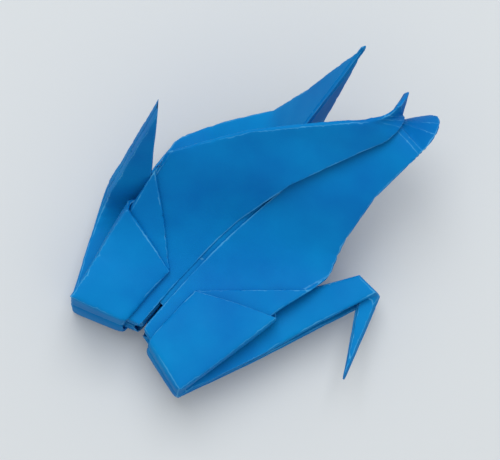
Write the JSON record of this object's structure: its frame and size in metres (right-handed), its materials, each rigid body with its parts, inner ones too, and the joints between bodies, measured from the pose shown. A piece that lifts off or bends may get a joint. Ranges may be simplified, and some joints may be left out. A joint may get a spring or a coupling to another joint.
{
  "type": "origami crane",
  "caption": "Small crane folded from one square sheet of paper, with its wings raised, lying on its side.",
  "frame": {"origin": "centre of the footprint, on the surface that the crane lies on", "axes": "+Z up from that surface, +X to the right and +Y up as the crane is seen from above, with its wings towards +X +Y and its body towards -X -Y"},
  "size_m": [0.018, 0.017, 0.0113],
  "materials": {
    "paper": "matt coloured paper, with paler worn folds"
  },
  "bodies": {
    "root": {"folded_sheet": "paper"}
  },
  "joints": []
}
